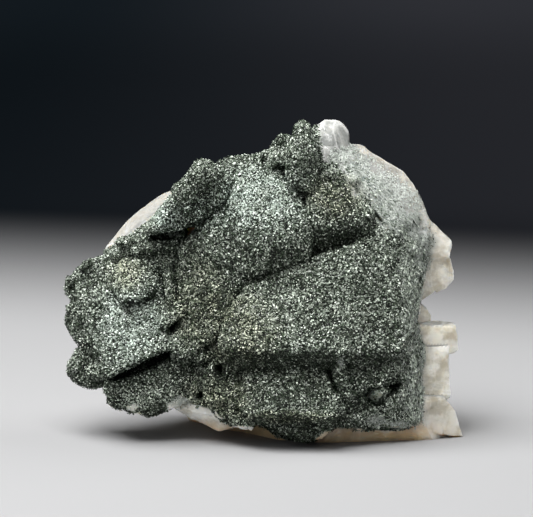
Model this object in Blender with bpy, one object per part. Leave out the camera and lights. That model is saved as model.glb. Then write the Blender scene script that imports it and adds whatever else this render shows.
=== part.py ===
"""Chlorite-included orthoclase: one group of intergrown crystals on the feldspar they grew from.

The group stands on its flat break. Its front, towards -Y, is the growth face: stepped crystals
crusted with chlorite. Its back and its right side are broken white feldspar with cleavage steps.
Crystals are laid out on the growth face in millimetres: u to the right, v up the face and w out
of it. The face leans back by FACE_LEAN_DEG, so v = 0 meets the table where w = 0.
"""

import math
import random

import bmesh
import bpy
from mathutils import Euler, Matrix, Vector

MM = 0.001
FACE_LEAN_DEG = 8.0
SEED = 11

# The directions in which the feldspar splits, and the way its small crystals point.
CLEAVAGE_TURN_DEG = (14.0, -12.0, 9.0)
GROWTH_TURN_DEG = (-24.0, 16.0, 22.0)
GROWTH_SCATTER_DEG = 14.0

# Every corner is moved by up to this much, so that no two crystals share a plane by chance.
CORNER_PLAY = 0.05
# Edges between faces that turn less than this are left out before rounding.
SAME_FACE_DEG = 8.0
TABLE_SIZE = 200.0
WELD = 0.002

# The white body that carries the crystals: corners (u, v, w) of its convex lumps.
FELDSPAR = {
    "body": [
        (-36, 41, -8), (-27, 49.5, -9), (-18.5, 55.5, -10), (-7, 62.5, -11), (0, 63.2, -11),
        (15, 64, -10), (19.6, 64.2, -8), (29, 59, -7), (35.5, 51.5, -6), (39, 44, -8),
        (38, 34, -9), (37, 18, -10), (-37, 26, -8), (-30, 15, -11), (-22, 11, -15),
        (-27, 24, -22), (-21, 41, -24), (-6, 54, -24), (12, 57, -22), (27, 46, -25),
        (33, 26, -28), (31, 5, -28), (-10, 5, -29), (-19, 10, -25),
    ],
    "left_backing": [
        (-40, 35, -5), (-38.4, 18, -4.6), (-31, 11.4, 0), (-21, 9, 3), (-27, 44.6, -1.6),
        (-20, 51.4, -3.6), (-36, 40, -5), (-36.6, 35, -15), (-34, 20, -15), (-25, 12, -17),
        (-22, 49, -17),
    ],
    "foot": [
        (-2.5, 0.2, -5), (4, -0.8, 2), (12, -1.1, 5), (38, -0.7, 2), (42, -0.2, -3), (41, 2, -18),
        (35, 3.6, -28), (-11, 3.8, -29), (-17, 2.6, -21), (-7, 1.6, -11), (-8, 10, 3),
        (20, 8, 8), (34, 8, 5), (38, 12, -3), (37, 22, -20), (-12, 20, -22), (-20, 12, -15),
    ],
    "upper_left_edge": [
        (-36, 42, -7), (-30.3, 48.9, -8), (-26.6, 52.2, -8.6), (-23, 55, -9), (-20.2, 56.4, -9.4),
        (-18.4, 56, -9), (-32, 44, -4.4), (-24, 49.6, -5), (-19, 52.6, -5.6), (-34, 41, -16),
        (-24, 49.4, -18), (-18.6, 52, -18),
    ],
    "translucent_shoulder": [
        (13, 65, -6), (19.6, 65.6, -6), (22.8, 64.8, -6), (26.4, 63, -6), (30, 60.7, -5.8),
        (33.8, 57, -5.4), (36, 53.5, -5.2), (37.4, 50, -5), (38.2, 45, -4), (36, 39, -1),
        (33, 41, 4), (29, 45.8, 6), (23, 53, 4.6), (16, 61, 1), (24, 61, -11), (33, 54, -10.4),
        (20, 50, -16), (33, 40, -16),
    ],
    "right_shoulder": [
        (35, 50.5, -6), (38.6, 48.2, -6), (40.8, 46, -6.4), (42.6, 43.8, -7), (42.8, 42, -7),
        (42, 40, -5.6), (36, 42, -2), (33, 40, -16), (40, 42, -17), (35, 36, -4),
    ],
    "right_knob": [
        (42, 41.4, -6.4), (42.8, 39, -7), (43.3, 37, -7), (43, 35.2, -6.6), (41.2, 33.4, -6),
        (38.2, 32.2, -5), (36, 31, -4), (34, 32, -2), (35, 40, -2), (34, 36, -18), (41, 38, -17),
        (37, 33, -16),
    ],
    "right_waist": [
        (34, 33, -2), (38, 32, -6), (37, 27, -6), (37.5, 24.5, -6), (34, 24, -2), (32, 30, -20),
        (38, 28, -18), (37, 23, -18),
    ],
    "ledge_top": [
        (32.6, 25.3, 0.5), (43, 25.1, -1), (43.9, 19.4, -1.5), (42.2, 18.4, -1), (32.4, 17.6, 1.5),
        (32.8, 25.6, -17), (42.4, 25.4, -15), (43.2, 19.4, -14), (32.5, 17, -17.4),
    ],
    "ledge_wall": [
        (31.6, 20.3, 2), (41.8, 20.6, 0.2), (41.7, 9.2, 0.6), (39.6, 8.4, 1.6), (31.2, 7, 3),
        (31.9, 20.9, -18.2), (40.6, 20.2, -16.2), (40.2, 8, -15.4), (31.5, 7.3, -18.6),
    ],
    "ledge_foot": [
        (30.2, 10, 4), (40, 9.3, 2), (43.2, 6.2, 0.4), (44.7, 0.3, -1), (44.4, 0, -3),
        (30.6, 2.2, 4.5), (43, 2, -14.6), (38, 9.6, -15.7), (30.4, 3.2, -17.6),
    ],
    "broken_lip": [
        (-21.5, 8, 5), (-17, 9.5, 6), (-10.5, 7.8, 8), (-6.7, 4, 8.5), (-6.2, 2.4, 6.5),
        (-10.5, 2.5, 4.5), (-12.7, 3.1, 3.5), (-18, 5.8, 3.5), (-19, 12, -8), (-6, 9, -8),
        (-8, 4, -8),
    ],
    "clear_crystal_top": [
        (11.4, 69.6, -5), (14, 71.3, -6), (17.6, 71, -6), (19.4, 69.2, -5.8), (19.4, 65, -4.8),
        (17.4, 62.4, -2), (15.4, 66, -1.6), (12, 62, -1), (11.5, 66.4, -2), (13, 60, -14),
        (18.4, 60, -13), (14.4, 69, -12), (18.4, 67, -11),
    ],
    "clear_crystal_low": [
        (12, 66.2, 0), (15.5, 64.7, 0), (17, 61.5, 1), (16.2, 59, 2), (12.3, 59.5, 2.6),
        (12, 62, -8), (17, 58, -8),
    ],
}

# Chlorite-rich ground mass that fills in between the crystals: corners (u, v, w).
GROUND_MASS = {
    "left": [
        (-40.5, 34, -3), (-38, 16, -2), (-34, 12, 1.5), (-24, 8.5, 4), (-15, 10.5, 6),
        (-13, 20, 7.4), (-12, 30, 7.6), (-13.5, 43, 5.6), (-22, 44, 3.6), (-31, 42, 0.5),
        (-37, 32, -8), (-20, 16, -12), (-20, 45, -12),
    ],
    "middle": [
        (-16, 45, 5), (-6, 52, 4.2), (4, 54, 3.4), (9.6, 50, 4.6), (11, 38, 7.6), (8, 34, 9.2),
        (12, 20, 11.4), (14, 8, 11.6), (2, 6.4, 11), (-6, 7, 9.4), (-13, 13, 7.2),
        (-8, 30, 8.6), (-2, 20, -12), (4, 48, -12),
    ],
    "right": [
        (10.5, 39, 5.6), (12.5, 51, 3.6), (25.4, 49.4, 5.6), (31.2, 44.6, 5.6), (33.2, 28, 3.2),
        (33.8, 6, 3.8), (24, 4.6, 8.6), (12, 7, 11.2), (10, 20, 10.6), (20, 24, -12),
        (30, 20, -12), (14, 44, -12),
    ],
    "saddle": [
        (-16, 56, 3), (-11, 60.6, 0), (-7.6, 62.6, -2.4), (0, 63.2, -2.4), (-2, 58, 2.4),
        (-8, 50, 5.4), (-16, 50, 5.8), (-20, 49, -10), (-16, 55, -10), (-2, 58, -12),
    ],
    "top": [
        (2.4, 56, 2), (4.4, 63, -1), (10, 63.6, -1), (18.6, 60.6, -2), (22.4, 52, 3),
        (14, 49.4, 5), (9, 52, 5), (12, 56, -12), (20, 52, -12),
    ],
}

# The crusted crystals: front corners (u, v, w), how far back they reach, the share of their
# outline kept at the back, and the width of their rounded edges.
CRYSTALS = {
    "upper_middle": ([
        (-4, 61, 0), (0.5, 61.5, 0), (5, 58, 2), (9, 53.5, 5), (11.3, 49.5, 8), (-7.5, 56.5, 3),
        (-8, 52, 6), (-5, 49.6, 9.4), (1.5, 50, 10.8), (9.6, 48.6, 11), (-3.6, 44.6, 12),
        (3, 43.4, 13.4), (10.4, 43.6, 12.4), (-3, 35.4, 10.6), (10.5, 39.4, 10.4),
        (-8, 38, 8), (-8, 46, 8),
    ], 18, 0.96, 1.6),
    "upper_middle_step": ([
        (-14.2, 49.3, 4.6), (-9, 51.6, 6.2), (-5.4, 47.4, 9.4), (-3, 42.3, 10.8), (-5.6, 37, 10.2),
        (-12.5, 38.6, 8.4), (-14.8, 44, 6.8),
    ], 14, 1.0, 1.5),
    "great_front": ([
        (-3.3, 34, 9), (1.3, 35.6, 10), (8.5, 37.8, 10), (15, 41.5, 9.5), (22, 44, 8.5),
        (29, 44.3, 6.5), (32, 42, 5), (34.2, 37, 3.5), (34.8, 31, 3.5), (33.5, 24, 5.5),
        (-9, 20.5, 15), (-2, 19.8, 17), (8, 19.4, 18.4), (18, 19.4, 18), (31, 19.8, 12.6),
        (-6.6, 29.5, 12), (-9, 24, 13.5), (-6, 15.4, 11), (10, 15, 12.5), (28, 15.8, 10),
        (30, 34, 9), (12, 30, 14.4),
    ], 18, 0.97, 1.6),
    "lower_front": ([
        (-4, 15.5, 11), (3, 17, 12.6), (9.5, 15.6, 13.6), (13.5, 15.2, 13.5), (-5, 7.5, 15),
        (-2.5, 6, 17), (8, 5.6, 18.4), (15, 5.4, 18), (18, 7.3, 16), (16.5, 10.5, 15.5),
        (-2, 3.8, 13), (15, 3.8, 13.5),
    ], 16, 0.95, 0.9),
    "bottom_bulge": ([
        (-1.5, 4.5, 12), (8, 5.5, 15), (17, 5.2, 13), (16.3, 3.6, 13.5), (14, 1.3, 13),
        (10.7, 0.1, 13), (7.8, 0.2, 13), (4, 1.8, 12.5), (1.3, 3.6, 12),
    ], 9, 0.84, 1.0),
    "lower_right": ([
        (17, 19.5, 13.6), (31, 19.5, 10.6), (33.5, 20.5, 7), (34.7, 13, 5), (35, 3, 5),
        (29.5, 2.3, 7), (19.5, 2.5, 10.5), (16, 4, 12), (18.5, 8.5, 14), (16.5, 14, 13.4),
    ], 12, 0.97, 1.1),
    "lower_right_rib": ([
        (15.8, 20.6, 14.6), (17.5, 20.6, 15.4), (17.8, 14, 16.4), (20, 9.5, 15.4),
        (18, 9, 15.8), (16, 14.5, 15.2),
    ], 8, 1.0, 0.5),
    "right_rim_upper": ([
        (30, 43.7, 4), (36.3, 40.5, -1), (36.2, 33, -0.4), (35, 27, 1.2), (31.5, 30, 5.6),
        (32, 37, 4.8),
    ], 8, 1.0, 0.9),
    "right_rim_lower": ([
        (31.7, 27, 6), (34.6, 26.4, 2), (35.4, 15, 3.2), (35.2, 3.2, 3.6), (31, 3, 6.6),
        (31.2, 17, 8),
    ], 8, 1.0, 0.9),
    "right_upper": ([
        (10.2, 58.5, 5), (17, 60, 4), (20.5, 56, 5), (24, 51, 5), (23.6, 47.6, 8), (17, 47.4, 11),
        (10, 49, 9.8), (10, 54, 8), (10.4, 43.4, 7), (25.6, 45.6, 5.4), (13, 41.6, 6.2),
    ], 14, 0.95, 1.0),
    "upper_right_lump": ([
        (19.5, 55, 5), (22.5, 54, 5.5), (25, 50.5, 6.4), (24.5, 48.4, 8), (21, 48.6, 9.4),
        (19, 51, 8.4),
    ], 8, 0.92, 0.8),
    "left_block": ([
        (-34, 39, 0), (-23, 40, 2.4), (-22, 31, 6), (-22.3, 24, 9), (-20, 20.3, 11),
        (-34.5, 13.5, 10), (-35.3, 18, 8), (-34.5, 30, 4), (-28, 17.2, 12), (-33, 15.6, 3),
        (-21, 21, 3),
    ], 14, 0.95, 0.7),
    "left_small": ([
        (-31, 40, 2.6), (-27, 40.6, 3.4), (-23, 39.8, 3.6), (-23, 33, 7.8), (-25.6, 31.4, 8.6),
        (-28.4, 30, 9.2), (-31, 30.2, 8.6), (-31.8, 33, 7.2), (-30, 29.4, 6), (-25, 30.4, 6.4),
    ], 9, 1.0, 0.9),
    "left_rib": ([
        (-21.4, 39.4, 6), (-20, 39.8, 6.4), (-19.5, 29, 9), (-21, 28, 9),
    ], 8, 1.0, 0.3),
    "middle_mass": ([
        (-18.2, 42.4, 6.4), (-15.4, 45.6, 6), (-12, 46, 6.4), (-5, 43, 8.4), (-3.5, 34.6, 9.2),
        (-7, 29, 9.8), (-10, 22, 10.6), (-15, 20, 10), (-18.5, 22, 9), (-18, 28, 8.2), (-18, 36, 7.4),
    ], 16, 1.0, 1.0),
    "middle_ledge": ([
        (-21.8, 30, 8), (-17, 30.6, 9), (-16.6, 28.2, 10.8), (-18.4, 26.6, 11.4),
        (-22.6, 23.8, 11),
    ], 8, 0.85, 0.6),
    "middle_step": ([
        (-20.8, 24.4, 7.4), (-14, 27, 9.4), (-12.5, 21.5, 12), (-16, 18.8, 12.8),
        (-20.5, 19.6, 12), (-16.5, 15.4, 9),
    ], 9, 0.95, 0.9),
    "lower_left_block": ([
        (-34.2, 13, 6), (-27, 14.5, 8), (-20, 18.5, 7.6), (-16, 19, 7), (-13.5, 13, 8),
        (-15, 9, 7.6), (-20, 8, 7.4), (-21.5, 5.9, 7), (-25, 5.1, 7), (-29.5, 6, 7.5),
        (-33.5, 8.5, 6), (-35, 11, 5),
    ], 12, 0.88, 1.0),
    "lower_knot": ([
        (-14.8, 16, 8.6), (-9, 17, 9.8), (-7.4, 13, 10.8), (-12, 10.3, 9.6), (-15.2, 12, 8.8),
    ], 9, 0.95, 0.8),
    "lower_lump": ([
        (-12.7, 12, 9), (-6, 13.2, 11), (-4.5, 9, 12.4), (-7, 4.8, 12), (-9.7, 5, 10.4),
        (-12.9, 8.5, 9.4),
    ], 10, 0.92, 0.9),
    "lower_lip": ([
        (-8, 6.6, 11), (-2.3, 7, 12.8), (-0.8, 3.4, 12.4), (-4, 2.6, 12), (-7.2, 3.2, 11),
    ], 9, 0.88, 0.7),
    "left_flap_upper": ([
        (-44.7, 33, -3), (-41.8, 37, -4), (-38.2, 39.4, -4.4), (-31.6, 42, -1.6), (-31, 31, 4.4),
        (-41.6, 30, 0), (-37, 27, 3), (-43, 31, -1),
    ], 8, 0.92, 0.8),
    "left_flap_lower": ([
        (-42.9, 30.6, -2), (-44.2, 25.8, -2), (-42.7, 23.2, -1.5), (-40.2, 20.3, 0.4),
        (-36, 17.6, 3.6), (-33, 17, 6.4), (-31, 29, 5), (-39, 31.6, 1.2),
    ], 9, 0.92, 0.8),
    "left_lobe": ([
        (-40.5, 20.5, -1), (-35, 21.5, 2), (-33.4, 12.2, 3.4), (-37.8, 10.9, 1.4), (-41.5, 12, 0),
        (-43.9, 14.7, -0.5), (-42.6, 17.2, -1),
    ], 9, 0.9, 0.9),
    "upper_left_rim": ([
        (-36, 41, -4), (-29.5, 46.3, -4), (-20, 53.4, -5), (-17, 55.5, -4), (-17, 47, 4),
        (-24, 43.4, 6), (-33, 39.4, 2.8), (-18, 41.6, 6.6),
    ], 7, 0.97, 1.0),
    "prow": ([
        (-14.4, 61.4, 4.5), (-12, 61.6, 4.5), (-15, 59.2, 9.4), (-12.2, 59.2, 9),
        (-18.6, 55, 11), (-20.2, 50, 12.4), (-22.6, 46, 11.8), (-25.6, 45, 9), (-6.6, 57.2, 5.2),
        (-8.4, 53, 5.8), (-11.4, 49.8, 7), (-16, 46.8, 8.8), (-16.8, 57.8, 3.6), (-24, 48.6, 4),
        (-26, 45.8, 6),
    ], 12, 0.9, 0.8),
    "prow_lobe": ([
        (-19.2, 57, 1), (-17.2, 57.6, 2), (-16, 53, 5), (-19.8, 53, 4.5), (-19, 50, 6),
    ], 6, 0.9, 0.8),
    "top_point": ([
        (8.2, 70.8, 2.4), (10.2, 70.8, 2.4), (7, 67.8, 5), (11.2, 67.2, 5), (5.3, 60.5, 7.6),
        (12.5, 61, 7.4), (6, 56.5, 8.4), (10.3, 54, 9.4), (12.3, 54.5, 8.6), (9, 62, 9),
    ], 10, 0.92, 0.9),
    "top_lump_high": ([
        (3.2, 66.8, -1), (6.3, 67.9, -1), (7, 64, 3), (5, 60, 5), (2, 62, 3), (1.4, 65, 0),
    ], 7, 0.9, 0.9),
    "top_lump_low": ([
        (0.5, 62.5, -2), (1.9, 65.1, -2), (4, 64, 0.9), (4, 60, 3.4), (1.3, 60, 2.4),
    ], 6, 0.9, 0.8),
}

# Small crystals at the rims and ledges of the crust: place (u, v, w) and half their length.
SMALL_CRYSTALS = [
    (-42.6, 34.4, -3, 1.6), (-41.8, 28, -2, 1.8), (-38.4, 37.6, -3.4, 2), (-41.4, 15.6, -1, 1.8),
    (-37.6, 13.6, 1, 1.8), (-32.2, 8.2, 5, 1.8), (-26.6, 7, 6, 2), (-23.4, 6.6, 5.8, 1.6),
    (-17.4, 12.4, 7, 2.2), (-13.4, 18, 8.6, 2), (-9.6, 8.2, 9.8, 1.9), (-2.6, 4.6, 11.4, 1.7),
    (6.2, 2.8, 12.2, 1.8), (12.4, 2.6, 12.2, 1.7), (20.6, 5.2, 10.6, 1.9), (33.4, 34.6, 2.4, 2),
    (-29.6, 42.8, 1.6, 2), (15.4, 57.2, 4.4, 2.1), (20.4, 56.6, 2.8, 1.8),
    (0.8, 62.6, -1.6, 1.7), (4.4, 65.4, -1, 1.6),
    (8.6, 67.6, 2.6, 1.7), (10.8, 60.4, 6.6, 1.8), (-18.4, 54.4, 4, 1.8), (-21.4, 49.4, 4.4, 2),
]

# The outline across a small crystal, the slant of its ends and the range of each corner's size.
SMALL_CRYSTAL_OUTLINE = ((1, 0), (0.1, 0.85), (-1, 0.2), (-0.2, -0.85))
SMALL_CRYSTAL_SLANT = 0.45
SMALL_CRYSTAL_PLAY = (0.72, 1.15)

# The small crystal that stands in the pocket at the lower right: corners (u, v, w).
POCKET_CRYSTAL = [
    (22.8, 9.8, 10.4), (24.2, 11.8, 11), (26.6, 12, 10.4), (28, 11.2, 9.6), (26.4, 8.6, 11),
    (24.6, 8.4, 11.4), (25.2, 10.4, 13), (24, 10, 3), (28, 11, 3), (26, 8.6, 3),
]

# Pits and gaps sunk into the crust: corners (u, v, w).
PITS = {
    "slit_under_left_block": [
        (-34.4, 13.3, 16), (-21, 19.8, 16), (-19.4, 17.2, 16), (-24.6, 15.1, 16),
        (-28.8, 13, 16), (-34, 12.5, 16), (-33, 14.8, 1), (-20.8, 20.4, 1), (-20, 17.8, 1),
        (-28, 13.8, 1), (-33, 13.2, 1),
    ],
    "slot_under_prow": [
        (-26, 44.4, 18), (-20, 45.6, 18), (-15.6, 46.9, 18), (-17, 44.6, 18), (-20.6, 42.7, 18),
        (-24, 42.7, 18), (-25, 44.8, 0), (-16.4, 47, 1), (-20.4, 43.6, 0), (-23.6, 43.4, 0),
    ],
    "hole_in_middle": [
        (-11.2, 16.9, 16), (-8, 17, 16), (-7.4, 13.6, 16), (-9.6, 12.8, 16), (-10.8, 16.4, 4),
        (-8.4, 16.4, 4), (-8.6, 14, 4),
    ],
    "pocket": [
        (31.8, 14, 16), (22.8, 12, 18), (20.8, 9.8, 18), (24.4, 6.8, 18), (27.4, 8, 18),
        (31.8, 10.8, 16), (29.6, 13.4, 5), (23.4, 11.4, 6), (24.6, 7.8, 6.4), (30, 11.2, 5),
    ],
    "pit_at_right_edge": [
        (35.3, 41.6, 6), (36.8, 41.6, 6), (36.8, 38.2, 6), (35.4, 37.8, 6), (36, 40.8, -4),
        (36, 39, -4),
    ],
    "notch_at_right": [
        (34.9, 30.2, 5), (38.8, 32.8, 5), (38.8, 26, 5), (35.2, 30.2, -30), (39.4, 33, -30),
        (39.4, 25.6, -30),
    ],
    "crack_beside_lower_front": [
        (-6.6, 5.8, 18), (-5, 9.6, 18), (-4.1, 9.2, 18), (-5.6, 5.2, 18), (-5.2, 8.4, 8),
        (-5.4, 6.8, 8),
    ],
    "groove_left_of_rib": [
        (-22.3, 38.8, 14), (-21.4, 38.8, 14), (-21.4, 29, 14), (-22.3, 29, 14),
        (-21.8, 38, 3.5), (-21.8, 30, 5),
    ],
    "groove_right_of_rib": [
        (-19.9, 38.4, 14), (-18.8, 38.4, 14), (-18.8, 30.4, 14), (-19.8, 30.4, 14),
        (-19.3, 37.6, 4), (-19.3, 31.4, 5.4),
    ],
}

# Cleavage steps cut into the broken back, sides and top of the body: how many, the half sides of
# the boxes that cut them in millimetres, and how deep they bite. Faces that look further forward
# than STEP_FACING carry no steps.
CLEAVAGE_STEPS = 40
STEP_HALF_SIDES = ((4.0, 14.0), (4.0, 15.0), (3.0, 9.0))
STEP_BITE = (0.9, 4.2)
STEP_FACING = 0.2
# A step lies at a random mix of the corners of its face or edge, each with a share in this range.
STEP_CORNER_SHARE = (0.05, 1.05)


def face_to_world():
    """The matrix that takes (u, v, w) on the growth face to metres, +Z up and -Y in front."""
    lean = math.radians(FACE_LEAN_DEG)
    right = Vector((1, 0, 0))
    up_the_face = Vector((0, math.sin(lean), math.cos(lean)))
    out_of_the_face = Vector((0, -math.cos(lean), math.sin(lean)))
    turn = Matrix((right, up_the_face, out_of_the_face)).transposed()
    return Matrix.Scale(MM, 4) @ turn.to_4x4()


def turn_matrix(degrees):
    return Euler([math.radians(angle) for angle in degrees]).to_matrix()


def convex_mesh(corners, rounding=0.0):
    """The convex solid with these corners, its edges rounded off by one bevel."""
    mesh = bmesh.new()
    for corner in corners:
        mesh.verts.new(corner)
    hull = bmesh.ops.convex_hull(mesh, input=mesh.verts)
    inside = [item for item in hull["geom_interior"] if isinstance(item, bmesh.types.BMVert)]
    bmesh.ops.delete(mesh, geom=inside, context="VERTS")
    loose = [vertex for vertex in mesh.verts if not vertex.link_faces]
    bmesh.ops.delete(mesh, geom=loose, context="VERTS")
    bmesh.ops.dissolve_limit(
        mesh, angle_limit=math.radians(SAME_FACE_DEG), verts=mesh.verts, edges=mesh.edges
    )
    if rounding:
        bmesh.ops.bevel(
            mesh, geom=list(mesh.edges), offset=rounding, segments=1, affect="EDGES",
            clamp_overlap=True,
        )
    bmesh.ops.triangulate(mesh, faces=mesh.faces)
    bmesh.ops.recalc_face_normals(mesh, faces=mesh.faces)
    return mesh


def solid(name, corners, collection, place, rounding=0.0):
    """A convex object in the collection, from corners in millimetres and the matrix that places it."""
    play = random.Random(name)
    moved = [
        Vector(corner) + Vector([play.uniform(-CORNER_PLAY, CORNER_PLAY) for _ in range(3)])
        for corner in corners
    ]
    mesh = convex_mesh(moved, rounding)
    mesh.transform(place)
    data = bpy.data.meshes.new(name)
    mesh.to_mesh(data)
    mesh.free()
    made = bpy.data.objects.new(name, data)
    collection.objects.link(made)
    return made


def crystal_corners(front, reach, taper):
    """Front corners, and the same outline moved back by reach and drawn in to taper of its size."""
    middle = sum((Vector(corner) for corner in front), Vector()) / len(front)
    back = []
    for corner in front:
        drawn_in = middle + (Vector(corner) - middle) * taper
        back.append((drawn_in.x, drawn_in.y, middle.z - reach))
    return [Vector(corner) for corner in front] + [Vector(corner) for corner in back]


def small_crystal_corners(size, rng):
    """A block like orthoclase's own: a diamond across, cut obliquely at both ends, uneven."""
    corners = []
    for a, b in SMALL_CRYSTAL_OUTLINE:
        for end in (1, -1):
            corner = Vector((a, b, end - SMALL_CRYSTAL_SLANT * a)) * size
            corners.append(corner * rng.uniform(*SMALL_CRYSTAL_PLAY))
    return corners


def grow_crystals(collection, place, rng):
    """The large crystals, and the small ones that point nearly the same way as each other."""
    for name, (front, reach, taper, rounding) in CRYSTALS.items():
        solid(name, crystal_corners(front, reach, taper), collection, place, rounding)
    base_turn = turn_matrix(GROWTH_TURN_DEG)
    for number, (u, v, w, size) in enumerate(SMALL_CRYSTALS):
        scatter = [rng.gauss(0, GROWTH_SCATTER_DEG) for _ in range(3)]
        turn = turn_matrix(scatter) @ base_turn
        spot = Vector((u, v, w))
        corners = [spot + turn @ corner for corner in small_crystal_corners(size, rng)]
        solid(f"small_crystal_{number}", corners, collection, place)


def box_corners(centre, halves, turn):
    """The corners of a box with these half sides, turned and moved to its centre."""
    return [
        centre + turn @ Vector((halves[0] * i, halves[1] * j, halves[2] * k))
        for i in (-1, 1) for j in (-1, 1) for k in (-1, 1)
    ]


def cleavage_steps(collection, place, rng):
    """Boxes that cut steps between cleavage planes into the faces and the edges of the body."""
    turn = turn_matrix(CLEAVAGE_TURN_DEG)
    body = convex_mesh(FELDSPAR["body"])
    faces = [face for face in body.faces if face.normal.z < STEP_FACING]
    edges = [edge for edge in body.edges if all(face in faces for face in edge.link_faces)]
    areas = [face.calc_area() for face in faces]
    lengths = [edge.calc_length() for edge in edges]
    for number in range(CLEAVAGE_STEPS):
        if number % 2:
            place_on = rng.choices(edges, lengths)[0]
            normal = sum((face.normal for face in place_on.link_faces), Vector()).normalized()
        else:
            place_on = rng.choices(faces, areas)[0]
            normal = place_on.normal
        shares = [rng.uniform(*STEP_CORNER_SHARE) for _ in place_on.verts]
        spot = sum((v.co * s for v, s in zip(place_on.verts, shares)), Vector()) / sum(shares)
        halves = Vector([rng.uniform(*sides) for sides in STEP_HALF_SIDES])
        outward = turn.inverted() @ normal
        depth = sum(abs(outward[axis]) * halves[axis] for axis in range(3))
        centre = spot + normal * (depth - rng.uniform(*STEP_BITE))
        solid(f"cleavage_step_{number}", box_corners(centre, halves, turn), collection, place)
    body.free()


def table_corners():
    half = TABLE_SIZE / 2
    return [(x, y, z) for x in (-half, half) for y in (-half, half) for z in (-half, 0)]


def add_boolean(target, operation, name, tools):
    modifier = target.modifiers.new(name, "BOOLEAN")
    modifier.operation = operation
    modifier.solver = "EXACT"
    modifier.operand_type = "COLLECTION"
    modifier.collection = tools
    if operation == "UNION":
        modifier.use_self = True


def helper_collection(name):
    made = bpy.data.collections.new(name)
    bpy.context.scene.collection.children.link(made)
    return made


def hide_helpers(collection):
    for helper in collection.objects:
        helper.hide_render = True
        helper.display_type = "WIRE"


def orthoclase_material():
    material = bpy.data.materials.new("chlorite_orthoclase")
    material.use_nodes = True
    shader = material.node_tree.nodes["Principled BSDF"]
    shader.inputs["Base Color"].default_value = (0.115, 0.135, 0.115, 1)
    shader.inputs["Roughness"].default_value = 0.55
    shader.inputs["Metallic"].default_value = 0.0
    return material


def fill_sealed_gaps(mesh):
    """Leaves out the walls of gaps closed in between crystals: all but the largest shell."""
    waiting = set(mesh.verts)
    shells = []
    while waiting:
        edge_of_shell = [waiting.pop()]
        shell = list(edge_of_shell)
        while edge_of_shell:
            vertex = edge_of_shell.pop()
            for edge in vertex.link_edges:
                other = edge.other_vert(vertex)
                if other in waiting:
                    waiting.remove(other)
                    edge_of_shell.append(other)
                    shell.append(other)
        shells.append(shell)
    shells.sort(key=len)
    for shell in shells[:-1]:
        bmesh.ops.delete(mesh, geom=shell, context="VERTS")


def evaluated_copy(name, source):
    """A plain mesh object with the shape that the source's modifiers give, its slivers welded."""
    bpy.context.view_layer.update()
    graph = bpy.context.evaluated_depsgraph_get()
    data = bpy.data.meshes.new_from_object(source.evaluated_get(graph))
    mesh = bmesh.new()
    mesh.from_mesh(data)
    bmesh.ops.triangulate(mesh, faces=mesh.faces)
    bmesh.ops.remove_doubles(mesh, verts=mesh.verts, dist=WELD * MM)
    bmesh.ops.dissolve_degenerate(mesh, edges=mesh.edges, dist=WELD * MM)
    fill_sealed_gaps(mesh)
    mesh.to_mesh(data)
    mesh.free()
    data.name = name
    made = bpy.data.objects.new(name, data)
    bpy.context.scene.collection.objects.link(made)
    return made


def stand_at_origin(group):
    """Puts the middle of the footprint of the group's box at the origin, with the break at Z = 0."""
    xs = [vertex.co.x for vertex in group.data.vertices]
    ys = [vertex.co.y for vertex in group.data.vertices]
    middle = Vector(((min(xs) + max(xs)) / 2, (min(ys) + max(ys)) / 2, 0))
    group.data.transform(Matrix.Translation(-middle))


def main():
    for old in list(bpy.data.objects):
        bpy.data.objects.remove(old)
    rng = random.Random(SEED)
    place = face_to_world()

    grown = helper_collection("grown")
    broken_off = helper_collection("broken_off")
    sunk = helper_collection("sunk")
    in_pocket = helper_collection("in_pocket")
    below = helper_collection("below")
    for name, corners in FELDSPAR.items():
        if name != "body":
            solid(name, corners, grown, place)
    for name, corners in GROUND_MASS.items():
        solid(f"ground_mass_{name}", corners, grown, place)
    cleavage_steps(broken_off, place, rng)
    grow_crystals(grown, place, rng)
    for name, corners in PITS.items():
        solid(name, corners, sunk, place)
    solid("pocket_crystal", POCKET_CRYSTAL, in_pocket, place)
    solid("table", table_corners(), below, Matrix.Scale(MM, 4))

    scratch = solid("feldspar_body", FELDSPAR["body"], bpy.context.scene.collection, place)
    add_boolean(scratch, "DIFFERENCE", "cleavage_steps", broken_off)
    add_boolean(scratch, "UNION", "grown_together", grown)
    add_boolean(scratch, "DIFFERENCE", "pits", sunk)
    add_boolean(scratch, "UNION", "pocket_crystal", in_pocket)
    add_boolean(scratch, "DIFFERENCE", "flat_break", below)
    for helpers in (broken_off, grown, sunk, in_pocket, below):
        hide_helpers(helpers)

    group = evaluated_copy("orthoclase_group", scratch)
    stand_at_origin(group)
    group.data.materials.clear()
    group.data.materials.append(orthoclase_material())
    scratch.modifiers.clear()
    scratch.hide_render = True
    scratch.display_type = "WIRE"


if __name__ == "__main__":
    main()
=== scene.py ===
"""Chlorite-included orthoclase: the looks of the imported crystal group, laid out as an add-on.

The solid gives the shape. Here it gets a fine skin of broken feldspar and crust, tens of thousands
of chlorite scales on its front, and a plain studio. Lengths in the skin and scale functions are in
millimetres on the growth face: u to the right, v up the face, w out of it towards the viewer.
"""

import math

import bpy
import numpy as np
from mathutils import Matrix, Vector


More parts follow.
